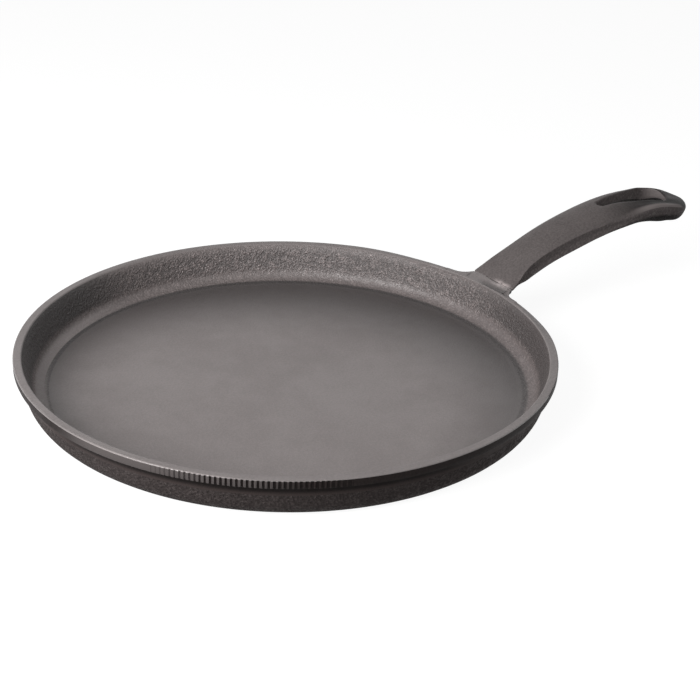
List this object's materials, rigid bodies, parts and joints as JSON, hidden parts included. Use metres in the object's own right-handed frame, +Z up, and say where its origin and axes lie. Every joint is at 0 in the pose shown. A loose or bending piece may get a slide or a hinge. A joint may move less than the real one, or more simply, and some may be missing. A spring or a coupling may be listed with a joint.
{
  "type": "comal griddle",
  "caption": "Low round cast iron comal: a flat griddle with a short flaring wall, a machined rim band and one long arched handle with a hanging slot.",
  "frame": {"origin": "centre of the base, on the plane that the comal stands on", "axes": "+Z up along the pan's axis, +X along the handle from the pan's axis to the handle's tip"},
  "size_m": [0.4095, 0.26, 0.0504],
  "materials": {
    "pan_iron": "seasoned, rough wall and ground floor",
    "handle_iron": "seasoned, satin",
    "bolt_steel": "darkened steel",
    "washer_steel": "plain spring steel"
  },
  "bodies": {
    "root": {"pan": "pan_iron", "handle": "handle_iron", "handle_bolt": "bolt_steel", "lock_washer": "washer_steel"}
  },
  "joints": []
}
